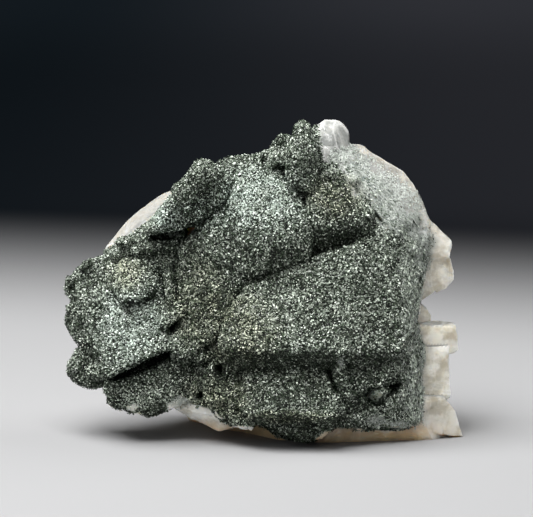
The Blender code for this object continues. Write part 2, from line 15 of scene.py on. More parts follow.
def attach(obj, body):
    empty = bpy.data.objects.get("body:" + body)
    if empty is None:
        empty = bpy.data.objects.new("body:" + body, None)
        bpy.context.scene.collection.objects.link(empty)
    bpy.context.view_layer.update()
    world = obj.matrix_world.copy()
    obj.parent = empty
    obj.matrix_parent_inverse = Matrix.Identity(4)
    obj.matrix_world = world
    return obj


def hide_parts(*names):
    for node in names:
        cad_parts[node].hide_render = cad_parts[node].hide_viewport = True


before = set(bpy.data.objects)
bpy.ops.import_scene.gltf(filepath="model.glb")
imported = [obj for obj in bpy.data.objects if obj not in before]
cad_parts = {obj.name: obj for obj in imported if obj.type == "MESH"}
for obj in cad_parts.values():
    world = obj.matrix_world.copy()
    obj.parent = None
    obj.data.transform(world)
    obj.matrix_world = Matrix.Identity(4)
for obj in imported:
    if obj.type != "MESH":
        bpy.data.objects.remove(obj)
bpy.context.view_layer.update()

bl_info = {
    "name": "Chlorite-included orthoclase",
    "version": (1, 0, 0),
    "blender": (4, 5, 0),
    "location": "3D View > Sidebar > Orthoclase",
    "description": "Builds the skin, the chlorite scales and the studio of a crystal group",
    "category": "Object",
}

MM = 0.001
# Points of the solid nearer than this are one point.
MERGE_STEP = 1e-7
SOLID = "orthoclase_group"
SURFACE = "orthoclase_surface"

# The growth face leans back, and the solid was moved by this much (millimetres) to the origin.
FACE_LEAN = math.radians(8.0)
FACE_SHIFT = np.array((0.21, 7.07, 0.0))
RIGHT = np.array((1.0, 0.0, 0.0))
UP_FACE = np.array((0.0, math.sin(FACE_LEAN), math.cos(FACE_LEAN)))
OUT_OF_FACE = np.array((0.0, -math.cos(FACE_LEAN), math.sin(FACE_LEAN)))

# The camera looks square at the growth face: its distance, the (u, v) it looks at, the width of
# the view at the face, and the width of its sensor, all in millimetres.
CAMERA_DISTANCE = 700.0
CAMERA_AIM = (1.0, 39.9)
VIEW_WIDTH = 118.44
SENSOR_WIDTH = 36.0

# Outline of the chlorite crust seen from the front (u, v).
CRUST_OUTLINE = np.array([
    (-44.7, 32.9), (-41.6, 36.9), (-36.0, 40.4), (-31.6, 42.7), (-27.1, 46.2), (-23.1, 49.3),
    (-20.0, 51.8), (-19.3, 54.7), (-18.7, 57.3), (-16.9, 57.8), (-16.0, 60.0), (-13.8, 61.3),
    (-11.1, 60.4), (-10.2, 59.6), (-8.9, 61.3), (-6.7, 61.8), (0.0, 62.4), (0.9, 64.9),
    (2.2, 65.6), (4.0, 67.6), (6.2, 67.1), (6.9, 69.1), (9.1, 70.4), (11.1, 69.1),
    (12.0, 66.2), (12.7, 64.0), (12.4, 62.2), (14.2, 60.7), (15.6, 61.8), (16.9, 60.7),
    (18.4, 57.8), (19.6, 55.1), (20.0, 53.3), (22.9, 52.9), (24.4, 51.1), (25.8, 48.0),
    (27.3, 45.8), (30.7, 45.8), (32.9, 44.4), (36.2, 41.8), (37.3, 40.0), (36.9, 38.4),
    (35.6, 35.1), (35.1, 30.7), (33.8, 26.2), (34.7, 22.9), (36.0, 20.7), (36.0, 17.3),
    (35.3, 14.0), (35.6, 9.6), (35.3, 4.0), (33.3, 2.9), (29.6, 2.4), (24.0, 2.4),
    (18.7, 2.7), (13.3, 2.2), (11.1, -0.6), (7.0, -0.8), (5.1, 0.0), (2.2, 1.6),
    (0.0, 3.1), (-3.8, 3.6), (-6.7, 3.3), (-8.9, 4.7), (-10.7, 6.4), (-12.7, 8.0),
    (-14.9, 8.0), (-17.6, 9.9), (-20.0, 8.4), (-20.9, 6.2), (-22.7, 5.6), (-24.4, 4.6),
    (-27.1, 6.2), (-29.3, 5.3), (-32.7, 7.1), (-35.1, 9.3), (-35.6, 11.1), (-37.1, 10.7),
    (-38.7, 10.2), (-41.3, 11.8), (-44.0, 13.3), (-43.8, 15.1), (-42.2, 17.3), (-41.3, 20.7),
    (-42.7, 22.9), (-44.6, 25.1), (-44.0, 28.4), (-42.6, 30.0), (-44.0, 31.3),
])
# How far back the crust wraps round its crystals, and over what depth it thins out.
CRUST_BACK = -7.0
CRUST_BACK_FADE = 2.5
CRUST_EDGE_FADE = 0.5

# The clouded, half-clear shoulder at the upper right (u, v).
SHOULDER_OUTLINE = np.array([
    (17.0, 62.0), (20.0, 62.6), (27.0, 58.0), (33.5, 52.6), (36.4, 48.4), (39.4, 44.0),
    (37.6, 39.0), (31.0, 43.6), (26.0, 46.4), (23.6, 51.0), (19.4, 55.0),
])

# Soft patches on the growth face: (u, v), half width and half height.
COOL_PATCHES = [((-1.5, 53.0), (11.0, 7.5)), ((-29.0, 25.0), (7.5, 9.5)), ((-20.0, 48.0), (4.0, 4.5)), ((-13.0, 49.5), (5.0, 4.0))]
WARM_PATCHES = [((-30.0, 36.5), (4.2, 3.6)), ((-6.0, 24.0), (9.0, 8.0)), ((4.0, 5.6), (11.0, 1.3)),
                ((16.0, 53.5), (6.0, 4.5)), ((-14.0, 30.0), (6.0, 9.0)), ((-10.0, 9.0), (8.0, 5.0))]
# Pale patches draw pale scales: partly paler crust, partly painted light on lit faces and ridges.
PALE_AND_PAINTED_LIGHT_PATCHES = [((-0.5, 54.0), (8.0, 6.0)), ((-29.0, 24.5), (6.5, 8.0)), ((-30.5, 36.4), (3.8, 3.4)),
                ((-21.2, 48.4), (3.4, 4.0)), ((-27.0, 9.5), (4.6, 2.0)), ((25.0, 4.8), (4.6, 1.8))]
# Painted shade: these patches draw dark scales and thin the pale ones under overhangs and on faces turned from
# the light.
PAINTED_SHADE_PATCHES = [((7.0, 1.6), (8.0, 2.6)), ((23.0, 9.0), (3.6, 2.6)), ((5.0, 17.5), (14.0, 3.0)),
                ((-12.5, 53.5), (2.6, 5.0)), ((9.0, 61.0), (3.2, 6.0)), ((6.0, 10.1), (10.0, 3.6)), ((17.0, 50.5), (4.0, 2.6)),
                ((17.9, 45.3), (5.0, 1.8))]
# Slits, the hole and undersides that lie in deep shade, painted as shade: the crust's ground is darkened there
# and dark scales are drawn to them.
SHADE_PATCHES = [((-32.0, 13.6), (2.4, 0.8)), ((-28.4, 15.1), (2.6, 1.1)), ((-24.6, 16.9), (2.6, 1.3)),
                 ((-21.4, 18.3), (1.7, 1.4)), ((-28.5, 30.2), (3.3, 0.8)), ((-20.6, 24.4), (2.0, 0.8)),
                 ((-22.0, 44.2), (4.2, 0.8)), ((-9.3, 15.0), (1.6, 1.7)), ((-39.4, 20.8), (2.4, 0.7))]
# The clear crystals at the top.
CLEAR_TOP = [((15.5, 65.5), (5.5, 7.0))]
# Where the crust is worn thin over bare feldspar, and the bare crystal in the pocket.
WORN_PATCHES = [((-18.2, 8.6), (2.6, 1.2)), ((25.2, 4.4), (2.0, 1.2)), ((29.5, 3.6), (2.6, 0.9)),
                ((17.0, 17.6), (0.7, 1.1))]
# A fleck of bare cream feldspar at the lower left.
FLECK = [((-28.5, 7.2), (1.5, 1.0))]
POCKET_CRYSTAL = [((24.6, 10.2), (2.4, 1.7))]
# Edges of the skin that turn by more than this are shaded sharp.
SHARP_ANGLE = math.radians(26.0)
# Width of the cells of the crust's ground, in metres.
GROUND_CELL = 0.00042
# The torn strips at the crust's right edge are this much longer up the face than across it.
STRIP_STRETCH = np.array((0.8, 5.0, 2.5))


class OrthoclaseSurfaceSettings(bpy.types.PropertyGroup):
    """Sizes and colours of the skin."""

    front_edge: bpy.props.FloatProperty(
        name="Front edge", description="Longest edge of the mesh on the crusted front",
        default=0.00117, unit="LENGTH")
    ledge_edge: bpy.props.FloatProperty(
        name="Ledge edge", description="Longest edge of the mesh on the broken ledges at the right",
        default=0.00080, unit="LENGTH")
    back_edge: bpy.props.FloatProperty(
        name="Back edge", description="Longest edge of the mesh at the back", default=0.0028,
        unit="LENGTH")
    crust_relief: bpy.props.FloatProperty(
        name="Crust relief", description="Height of the lumps of the crust", default=0.00016,
        unit="LENGTH")
    warp: bpy.props.FloatProperty(
        name="Warp", description="How far straight crystal edges are pushed about",
        default=0.00030, unit="LENGTH")
    feldspar_colour: bpy.props.FloatVectorProperty(
        name="Feldspar", description="White of the broken feldspar", subtype="COLOR", size=3,
        default=(0.54, 0.505, 0.42))
    clouded_colour: bpy.props.FloatVectorProperty(
        name="Clouded feldspar", description="Grey-green of the half-clear shoulder",
        default=(0.072, 0.098, 0.074))
    # Brown of the underside: partly staining, partly a painted warm light bounced from the floor.
    stain_and_bounce_colour: bpy.props.FloatVectorProperty(
        name="Stain", description="Brown of the underside", subtype="COLOR", size=3,
        default=(0.95, 0.64, 0.35))
    ground_colour: bpy.props.FloatVectorProperty(
        name="Crust ground", description="Dark green between the scales", subtype="COLOR", size=3,
        default=(0.004, 0.006, 0.0035))


class OrthoclaseScaleSettings(bpy.types.PropertyGroup):
    """Sizes and colours of the chlorite scales."""

    width: bpy.props.FloatProperty(
        name="Width", description="Mean width of a scale", default=0.00031, unit="LENGTH")
    dark_count: bpy.props.IntProperty(
        name="Dark scales", description="How many dark green scales", default=42000)
    green_count: bpy.props.IntProperty(
        name="Green scales", description="How many grey-green scales", default=34000)
    grey_count: bpy.props.IntProperty(
        name="Grey scales", description="How many mid grey scales", default=42000)
    pale_count: bpy.props.IntProperty(
        name="Pale scales", description="How many pale, silvery scales", default=40000)
    frost_count: bpy.props.IntProperty(
        name="Frost scales", description="How many white fibres on the shoulder and the torn edge",
        default=36000)
    dark_colour: bpy.props.FloatVectorProperty(
        name="Dark", description="Colour of the dark scales", subtype="COLOR", size=3,
        default=(0.005, 0.008, 0.0045))
    green_colour: bpy.props.FloatVectorProperty(
        name="Green", description="Colour of the grey-green scales", subtype="COLOR", size=3,
        default=(0.018, 0.032, 0.016))
    grey_colour: bpy.props.FloatVectorProperty(
        name="Grey", description="Colour of the mid grey scales", subtype="COLOR", size=3,
        default=(0.074, 0.094, 0.066))
    pale_colour: bpy.props.FloatVectorProperty(
        name="Pale", description="Colour of the pale scales", subtype="COLOR", size=3,
        default=(0.295, 0.345, 0.275))


class OrthoclaseStudioSettings(bpy.types.PropertyGroup):
    """The studio: its light and its floor."""

    key_power: bpy.props.FloatProperty(
        name="Key", description="Power of the overhead softbox", default=8.3, unit="POWER")
    fill_power: bpy.props.FloatProperty(
        name="Fill", description="Power of the weak light in front", default=1.4, unit="POWER")
    side_power: bpy.props.FloatProperty(
        name="Side", description="Power of the light at the right, a little behind", default=1.5,
        unit="POWER")
    floor_colour: bpy.props.FloatVectorProperty(
        name="Floor", description="Pale grey of the floor", subtype="COLOR", size=3,
        default=(0.295, 0.295, 0.298))
    # The charcoal that the sheet turns to behind the object stands in for light falling off: painted shade.
    backdrop_colour: bpy.props.FloatVectorProperty(
        name="Backdrop", description="Charcoal that the floor sheet runs into", subtype="COLOR",
        size=3, default=(0.0006, 0.0007, 0.0009))


# Growth face coordinates

def to_face(points):
    """(u, v, w) in millimetres of world points in metres: the three dot products with the face's
    axes, after the shift to the origin is undone."""
    moved = points / MM + FACE_SHIFT
    return moved @ np.stack((RIGHT, UP_FACE, OUT_OF_FACE)).T


def to_world(face_points):
    """World points in metres of (u, v, w): u * RIGHT + v * UP_FACE + w * OUT_OF_FACE - shift."""
    return (face_points @ np.stack((RIGHT, UP_FACE, OUT_OF_FACE)) - FACE_SHIFT) * MM


# Noise and soft masks

def cell_values(cells, seed):
    """A number from -1 to 1 for each whole-number cell: its coordinates mixed by large primes."""
    cells = cells.astype(np.int64)
    mixed = cells @ np.array((374761393, 668265263, 1442695041)) + seed * 974634777
    mixed &= 0xFFFFFFFF
    mixed = ((mixed ^ (mixed >> 13)) * 1274126177) & 0xFFFFFFFF
    mixed ^= mixed >> 16
    return mixed / 0x7FFFFFFF - 1.0


def smooth_noise(points, wavelength, seed):
    """Value noise: the eight cell values round each point, blended by 3t^2 - 2t^3 on each axis."""
    scaled = points / wavelength
    base = np.floor(scaled)
    blend = scaled - base
    blend = blend * blend * (3.0 - 2.0 * blend)
    total = np.zeros(len(points))
    for corner in range(8):
        offset = np.array((corner & 1, corner >> 1 & 1, corner >> 2 & 1))
        share = np.prod(np.where(offset, blend, 1.0 - blend), axis=1)
        total += share * cell_values(base + offset, seed)
    return total


def layered_noise(points, wavelength, layers, seed):
    """Sum of smooth noises, each of half the wavelength and half the height of the one before."""
    total, height = np.zeros(len(points)), 1.0
    for layer in range(layers):
        total += height * smooth_noise(points, wavelength / 2 ** layer, seed + layer)
        height /= 2.0
    return total


def soft_step(values, low, high):
    """0 below low, 1 above high, 3t^2 - 2t^3 between."""
    t = np.clip((values - low) / (high - low), 0.0, 1.0)
    return t * t * (3.0 - 2.0 * t)


def inside_distance(flat_points, outline):
    """Signed distance to a closed outline: the least distance to its edges, positive inside,
    where inside means an odd number of edges crossed by a ray to the right."""
    least = np.full(len(flat_points), np.inf)
    inside = np.zeros(len(flat_points), bool)
    for start, end in zip(outline, np.roll(outline, -1, axis=0)):
        along = end - start
        offset = flat_points - start
        t = np.clip(offset @ along / (along @ along), 0.0, 1.0)
        least = np.minimum(least, np.linalg.norm(offset - t[:, None] * along, axis=1))
        crosses = (start[1] > flat_points[:, 1]) != (end[1] > flat_points[:, 1])
        rise = along[1] if along[1] else 1e-9
        reach = start[0] + (flat_points[:, 1] - start[1]) / rise * along[0]
        inside ^= crosses & (flat_points[:, 0] < reach)
    return np.where(inside, least, -least)


def patch_mask(face_points, patches):
    """The strongest of several soft ovals: 1 at a middle, 0 beyond about one and a half widths."""
    mask = np.zeros(len(face_points))
    for middle, halves in patches:
        away = np.linalg.norm((face_points[:, :2] - middle) / halves, axis=1)
        mask = np.maximum(mask, 1.0 - soft_step(away, 0.5, 1.5))
    return mask


def crust_mask(face_points, facing):
    """How much crust covers each point: inside the crust's outline, not too far back, and less on
    faces that look away, with a ragged edge from noise, torn strips at the right edge and a few
    bare patches."""
    ragged = layered_noise(face_points, 2.6, 3, 21)
    strips = layered_noise(face_points / STRIP_STRETCH, 1.0, 3, 31)
    at_right = soft_step(face_points[:, 0], 31.0, 35.5) * soft_step(-face_points[:, 1], -46.0, -41.0)
    u, v = face_points[:, 0], face_points[:, 1]
    wrapped = np.maximum(soft_step(-u, 33.0, 36.0), soft_step(v, 60.0, 62.5) * soft_step(-u, -14.0, -12.0))
    flanks = soft_step(face_points[:, 2], -4.0, -2.0) * soft_step(v, 12.0, 15.0) * soft_step(-u, -12.0, -8.0)
    distance = (inside_distance(face_points[:, :2], CRUST_OUTLINE) + 0.55 * ragged
                + 2.0 * wrapped + 3.0 * flanks)
    in_outline = soft_step(distance, -CRUST_EDGE_FADE, CRUST_EDGE_FADE)
    back = CRUST_BACK + 1.6 * ragged + 3.0 * np.clip(-facing, 0.0, 1.0)
    in_front = soft_step(face_points[:, 2], back, back + CRUST_BACK_FADE)
    bare = soft_step(patch_mask(face_points, WORN_PATCHES + FLECK + POCKET_CRYSTAL) + 0.4 * ragged, 0.4, 0.8)
    torn = soft_step(at_right + 0.7 * strips, 0.6, 0.9)
    return in_outline * in_front * (1.0 - 0.8 * bare) * (1.0 - 0.6 * torn)


def smooth_mask(face_points):
    """1 where bare feldspar is smoothly rounded: the shoulder and the top left."""
    u, v = face_points[:, 0], face_points[:, 1]
    shoulder = soft_step(inside_distance(face_points[:, :2], SHOULDER_OUTLINE), -4.0, 0.0)
    top_left = soft_step(v, 36.0, 42.0) * soft_step(-u, -8.0, -4.0)
    return np.maximum(shoulder, top_left) * (1.0 - patch_mask(face_points, CLEAR_TOP))


def rim_mask(face_points):
    """1 on the outer few millimetres of the shoulder, where it is frosted almost white."""
    inner = inside_distance(face_points[:, :2], CRUST_OUTLINE)
    return soft_step(-inner, 3.5, 8.0) * soft_step(-face_points[:, 1], -64.0, -60.0)


def band_mask(face_points):
    """1 along the crust's torn right edge, where pale fibres show between the green."""
    inside = inside_distance(face_points[:, :2], CRUST_OUTLINE)
    return (soft_step(face_points[:, 0], 29.5, 33.0) * soft_step(-face_points[:, 1], -47.0, -43.0)
            * soft_step(inside, -0.6, 0.4) * soft_step(face_points[:, 2], -7.0, -4.0))


def shoulder_mask(face_points):
    """1 on the front of the half-clear shoulder, fading out at its outline and towards the back."""
    inside = soft_step(inside_distance(face_points[:, :2], SHOULDER_OUTLINE), -0.6, 1.6)
    return inside * soft_step(face_points[:, 2], -9.0, -4.0)


# Mesh helpers

def mesh_object(name, vertices, faces, material):
    """A new object at the origin from arrays of vertices and faces with equally many corners."""
    data = bpy.data.meshes.new(name)
    corners = faces.shape[1]
    data.vertices.add(len(vertices))
    data.vertices.foreach_set("co", np.ascontiguousarray(vertices, np.float32).ravel())
    data.loops.add(faces.size)
    data.loops.foreach_set("vertex_index", np.ascontiguousarray(faces, np.int32).ravel())
    data.polygons.add(len(faces))
    data.polygons.foreach_set("loop_start", np.arange(0, faces.size, corners, dtype=np.int32))
    data.update(calc_edges=True)
    data.validate()
    if material:
        data.materials.append(material)
    made = bpy.data.objects.new(name, data)
    bpy.context.scene.collection.objects.link(made)
    return made


def read_vectors(items, name, width, kind=np.float32):
    """One property of every vertex, edge or face, as an array with one row each."""
    values = np.empty(len(items) * width, kind)
    items.foreach_get(name, values)
    return values.reshape(-1, width) if width > 1 else values


def set_attribute(data, name, values):
    """Stores one number for each vertex under this name, for materials and later pieces."""
    attribute = data.attributes.new(name, "FLOAT", "POINT")
    attribute.data.foreach_set("value", np.ascontiguousarray(values, np.float32))


def read_attribute(data, name):
    return read_vectors(data.attributes[name].data, "value", 1)


def merged_triangles(solid):
    """The solid's points and triangles, with the points that its loose triangles share made one."""
    data = solid.data
    data.calc_loop_triangles()
    points = read_vectors(data.vertices, "co", 3)
    triangles = read_vectors(data.loop_triangles, "vertices", 3, np.int32)
    whole = np.round(points / MERGE_STEP).astype(np.int64)
    _, first, number = np.unique(whole, axis=0, return_index=True, return_inverse=True)
    triangles = number.reshape(-1)[triangles]
    solid_ones = (triangles != np.roll(triangles, 1, axis=1)).all(axis=1)
    return points[first].astype(float), triangles[solid_ones]


def refined(points, triangles, limit_at):
    """Halves every edge that is longer than the limit at its middle until none is: a triangle with
    one, two or three halved edges becomes two, three or four triangles."""
    while True:
        starts, ends = triangles, np.roll(triangles, -1, axis=1)
        pairs = np.sort(np.stack((starts, ends), axis=-1).reshape(-1, 2), axis=1)
        edges, edge_of = np.unique(pairs[:, 0] * len(points) + pairs[:, 1], return_inverse=True)
        a, b = edges // len(points), edges % len(points)
        middles = (points[a] + points[b]) / 2
        is_long = np.linalg.norm(points[a] - points[b], axis=1) > limit_at(middles)
        if not is_long.any():
            return points, triangles
        middle = np.full(len(edges), -1)
        middle[is_long] = len(points) + np.arange(is_long.sum())
        points = np.concatenate((points, middles[is_long]))
        halves = middle[edge_of.reshape(-1, 3)]
        count = (halves >= 0).sum(axis=1)
        made = [triangles[count == 0]]
        for wanted in (1, 2, 3):
            chosen = count == wanted
            corners, mids = triangles[chosen], halves[chosen]
            # Turned so that a single halved edge comes first, and a single whole edge comes last.
            turn = np.argmax(mids >= 0, axis=1) if wanted == 1 else (np.argmax(mids < 0, axis=1) + 1) % 3
            order = (turn[:, None] + np.arange(3)) % 3
            (p, q, r), (m, n, o) = (
                np.take_along_axis(rows, order, axis=1).T for rows in (corners, mids))
            parts = {
                1: ((p, m, r), (m, q, r)),
                2: ((m, q, n), (p, m, n), (p, n, r)),
                3: ((p, m, o), (m, q, n), (o, n, r), (m, n, o)),
            }[wanted]
            made += [np.stack(part, axis=1) for part in parts]
        triangles = np.concatenate(made)


def relaxed(points, edges, strength, rounds):
    """Each round moves every point by strength times the way to the mean of its neighbours."""
    count = np.bincount(edges.ravel(), minlength=len(points))[:, None]
    for _ in range(rounds):
        total = np.zeros_like(points)
        for axis in range(3):
            total[:, axis] = (
                np.bincount(edges[:, 0], points[edges[:, 1], axis], len(points))
                + np.bincount(edges[:, 1], points[edges[:, 0], axis], len(points))
            )
        points = points + strength[:, None] * (total / count - points)
    return points


def vertex_normals(data):
    return read_vectors(data.vertex_normals, "vector", 3).astype(float)


# Materials

def node_of(tree, kind, **settings):
    """A new node with these settings; a setting named inputs gives values by socket name."""
    node = tree.nodes.new(kind)
    for name, value in settings.pop("inputs", {}).items():
        node.inputs[name].default_value = value
    for name, value in settings.items():
        setattr(node, name, value)
    return node


def new_material(name, **constants):
    """A material with one Principled shader that has these constants on its own sockets."""
    material = bpy.data.materials.new(name)
    material.use_nodes = True
    shader = material.node_tree.nodes["Principled BSDF"]
    for socket, value in constants.items():
        shader.inputs[socket.replace("_", " ")].default_value = value
    return material, material.node_tree, shader


def attribute_value(tree, name):
    return node_of(tree, "ShaderNodeAttribute", attribute_name=name).outputs["Fac"]


def mixed_colour(tree, factor, first, second, blend="MIX"):
    """The two colours mixed by the factor; each may be a socket or a plain colour."""
    mix = node_of(tree, "ShaderNodeMix", data_type="RGBA", blend_type=blend)
    for index, value in ((0, factor), (6, first), (7, second)):
        if isinstance(value, bpy.types.NodeSocket):
            tree.links.new(value, mix.inputs[index])
        elif index == 0:
            mix.inputs[index].default_value = value
        else:
            mix.inputs[index].default_value = (*value, 1.0)
    return mix.outputs[2]


def ramped(tree, value, low, high, to_low=0.0, to_high=1.0):
    """The value taken smoothly from the range low..high to the range to_low..to_high."""
    ramp = node_of(tree, "ShaderNodeMapRange", interpolation_type="SMOOTHSTEP", inputs={
        "From Min": low, "From Max": high, "To Min": to_low, "To Max": to_high})
    tree.links.new(value, ramp.inputs["Value"])
    return ramp.outputs["Result"]


def calculated(tree, operation, first, second):
    """One arithmetic step between two sockets or numbers."""
    node = node_of(tree, "ShaderNodeMath", operation=operation)
    for index, value in enumerate((first, second)):
        if isinstance(value, bpy.types.NodeSocket):
            tree.links.new(value, node.inputs[index])
        else:
            node.inputs[index].default_value = value
    return node.outputs[0]


def object_noise(tree, wavelength, detail=3.0, turn=(0.0, 0.0, 0.0), stretch=(1.0, 1.0, 1.0)):
    """Noise in Object coordinates with this wavelength in metres, turned and stretched."""
    place = node_of(tree, "ShaderNodeTexCoord")
    mapping = node_of(tree, "ShaderNodeMapping", inputs={"Rotation": turn, "Scale": stretch})
    noise = node_of(tree, "ShaderNodeTexNoise", inputs={
        "Scale": 1.0 / wavelength, "Detail": detail, "Roughness": 0.55})
    tree.links.new(place.outputs["Object"], mapping.inputs["Vector"])
    tree.links.new(mapping.outputs["Vector"], noise.inputs["Vector"])
    return noise.outputs["Fac"]


def new_group(name, inputs, outputs):
    """An empty shader node group with these sockets, and its input and output nodes."""
    group = bpy.data.node_groups.new(name, "ShaderNodeTree")
    for direction, sockets in (("INPUT", inputs), ("OUTPUT", outputs)):
        for label, kind in sockets:
            group.interface.new_socket(label, in_out=direction, socket_type=kind)
    return group, group.nodes.new("NodeGroupInput"), group.nodes.new("NodeGroupOutput")


def use_group(tree, group, **values):
    """The group placed in a material, its inputs given as sockets, numbers or colours."""
    node = node_of(tree, "ShaderNodeGroup", node_tree=group)
    for name, value in values.items():
        socket = node.inputs[name.replace("_", " ")]
        if isinstance(value, bpy.types.NodeSocket):
            tree.links.new(value, socket)
        else:
            socket.default_value = (*value, 1.0) if isinstance(value, (tuple, list)) else value
    return node


def region_tint_group():
    """Tints a colour: bluish where Cool is 1, brownish where Warm is 1, uneven from fine noise."""
    group, given, made = new_group(
        "region_tint",
        [("Color", "NodeSocketColor"), ("Cool", "NodeSocketFloat"), ("Warm", "NodeSocketFloat")],
        [("Color", "NodeSocketColor")])
    uneven = ramped(group, object_noise(group, 0.004), 0.35, 0.65, 0.55, 1.0)
    cool = calculated(group, "MULTIPLY", given.outputs["Cool"], uneven)
    warm = calculated(group, "MULTIPLY", given.outputs["Warm"], uneven)
    cooled = mixed_colour(group, cool, given.outputs["Color"], (0.96, 1.0, 1.05), "MULTIPLY")
    warmed = mixed_colour(group, warm, cooled, (1.05, 0.99, 0.87), "MULTIPLY")
    group.links.new(warmed, made.inputs["Color"])
    return group


def cleavage_group():
    """Fine parallel lines of two cleavages: a mask of the lines and a height for bump."""
    group, _, made = new_group(
        "cleavage", [], [("Lines", "NodeSocketFloat"), ("Height", "NodeSocketFloat")])
    first = object_noise(group, 0.0030, 5.0, (0.24, -0.51, 0.16), (0.7, 1.0, 3.0))
    second = object_noise(group, 0.0045, 5.0, (0.24, -0.41, 0.16), (4.0, 1.0, 0.7))
    lines = calculated(group, "MAXIMUM", ramped(group, first, 0.56, 0.66), ramped(group, second, 0.60, 0.68))
    height = calculated(group, "ADD", first, calculated(group, "MULTIPLY", second, 0.6))
    group.links.new(lines, made.inputs["Lines"])
    group.links.new(height, made.inputs["Height"])
    return group


def crack_group():
    """Healed cracks inside the feldspar: thin lines where two stretched cells meet, and the chips
    between them as a height for bump."""
    group, _, made = new_group(
        "cracks", [], [("Lines", "NodeSocketFloat"), ("Height", "NodeSocketFloat")])
    place = node_of(group, "ShaderNodeTexCoord")
    turned = node_of(group, "ShaderNodeMapping", inputs={
        "Rotation": (0.5, 0.35, 0.2), "Scale": (1.0, 1.0, 0.5)})
    wander = node_of(group, "ShaderNodeTexNoise", inputs={"Scale": 260.0, "Detail": 3.0})
    pushed = node_of(group, "ShaderNodeVectorMath", operation="MULTIPLY_ADD")
    pushed.inputs[1].default_value = (0.0016, 0.0016, 0.0016)
    border = node_of(group, "ShaderNodeTexVoronoi", feature="DISTANCE_TO_EDGE", inputs={"Scale": 170.0})
    chips = node_of(group, "ShaderNodeTexVoronoi", feature="F1", inputs={"Scale": 420.0})
    group.links.new(place.outputs["Object"], wander.inputs["Vector"])
    group.links.new(place.outputs["Object"], turned.inputs["Vector"])
    group.links.new(wander.outputs["Color"], pushed.inputs[0])
    group.links.new(turned.outputs["Vector"], pushed.inputs[2])
    for texture in (border, chips):
        group.links.new(pushed.outputs["Vector"], texture.inputs["Vector"])
    group.links.new(ramped(group, border.outputs["Distance"], 0.0, 0.05, 1.0, 0.0), made.inputs["Lines"])
    group.links.new(chips.outputs["Distance"], made.inputs["Height"])
    return group


def bumped(tree, shader, height, distance, strength=1.0):
    """Feeds a height through a Bump node into the shader's normal."""
    bump = node_of(tree, "ShaderNodeBump", inputs={"Distance": distance, "Strength": strength})
    tree.links.new(height, bump.inputs["Height"])
    tree.links.new(bump.outputs["Normal"], shader.inputs["Normal"])


def feldspar_material(settings, line_group, fissure_group):
    """Cream feldspar with cleavage lines, broken edges whitened as a painted highlight and upward faces greyed
    as painted shade, clouded grey-green and streaked where the attribute clouding is 1, brown near the floor
    from staining and a painted warm bounce light, the pocket crystal darkened, dusted green by crust."""
    material, tree, shader = new_material(
        "feldspar", Subsurface_Weight=0.8, Subsurface_Scale=0.006,
        Subsurface_Radius=(1.0, 0.86, 0.66), Specular_IOR_Level=0.5, IOR=1.53,
        Coat_Roughness=0.12)
    lines = use_group(tree, line_group)
    cloud = ramped(tree, object_noise(tree, 0.0045, 5.0), 0.40, 0.60)
    cream = mixed_colour(tree, cloud, tuple(settings.feldspar_colour), (0.80, 0.775, 0.70))
    lined = mixed_colour(tree, calculated(tree, "MULTIPLY", lines.outputs["Lines"], 0.5), cream,
                         (0.76, 0.74, 0.68))
    # Painted highlight: raised edges are whitened.
    edged = mixed_colour(tree, calculated(tree, "MULTIPLY", attribute_value(tree, "edge"), 0.7), lined,
                         (0.80, 0.79, 0.73))
    fissures = use_group(tree, fissure_group)
    edged = mixed_colour(tree, calculated(tree, "MULTIPLY", fissures.outputs["Lines"], 0.3), edged,
                         (0.82, 0.81, 0.77))
    # Greyed where clear is 1: the clear crystals at the top, and upward faces as painted shade.
    cleared = mixed_colour(tree, attribute_value(tree, "clear"), edged, (0.19, 0.192, 0.178))
    streaks = ramped(
        tree, object_noise(tree, 0.0018, 5.0, (0.0, math.radians(-40.0), 0.0), (0.25, 1.0, 1.0)), 0.44, 0.60)
    clouded = mixed_colour(tree, streaks, tuple(settings.clouded_colour), (0.31, 0.34, 0.30))
    with_clouds = mixed_colour(tree, attribute_value(tree, "clouding"), cleared, clouded)
    # Brown near the floor: staining and a painted warm bounce light.
    stained_and_bounce_lit = mixed_colour(
        tree, attribute_value(tree, "stain_and_bounce_glow"), with_clouds, tuple(settings.stain_and_bounce_colour))
    # The crystal in the pocket is darkened to dark grey.
    pocket_darkened = mixed_colour(tree, attribute_value(tree, "pocket_darkening"), stained_and_bounce_lit, (0.10, 0.11, 0.095))
    dusting = ramped(tree, attribute_value(tree, "crust"), 0.02, 0.5)
    dusted = mixed_colour(tree, dusting, pocket_darkened, (0.16, 0.20, 0.15))
    tree.links.new(dusted, shader.inputs["Base Color"])
    upward = attribute_value(tree, "clear")
    roughness = calculated(tree, "ADD", ramped(tree, lines.outputs["Height"], 0.6, 1.0, 0.28, 0.52),
                           calculated(tree, "MULTIPLY", upward, 0.25))
    tree.links.new(roughness, shader.inputs["Roughness"])
    tree.links.new(ramped(tree, upward, 0.0, 1.0, 0.5, 0.02), shader.inputs["Coat Weight"])
    relief = calculated(tree, "ADD", lines.outputs["Height"],
                        calculated(tree, "MULTIPLY", fissures.outputs["Height"], 1.3))
    bumped(tree, shader, relief, 0.00035, 0.8)
    return material


